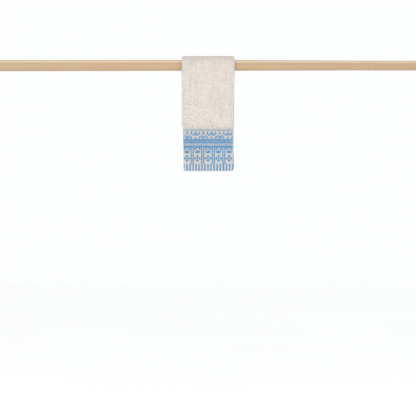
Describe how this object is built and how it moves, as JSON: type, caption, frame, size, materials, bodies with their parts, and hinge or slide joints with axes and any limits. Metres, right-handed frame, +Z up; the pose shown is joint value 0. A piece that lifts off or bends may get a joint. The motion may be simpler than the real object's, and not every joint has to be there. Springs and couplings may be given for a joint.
{
  "type": "bath towel on wooden rod",
  "caption": "Off-white cotton terry towel with a blue woven border, folded in thirds along its length and hung over a round wooden rod.",
  "frame": {"origin": "middle of the rod's left end face", "axes": "+X along the rod to its right end, +Z up, -Y towards the side that the towel's longer front drop hangs on"},
  "size_m": [1.4, 0.0619, 0.3691],
  "materials": {
    "terry": "off-white cotton pile, with a flat woven border in blue and off-white",
    "wood": "pale, fine-grained and unvarnished"
  },
  "bodies": {
    "root": {"towel": "terry", "rod": "wood"}
  },
  "joints": []
}
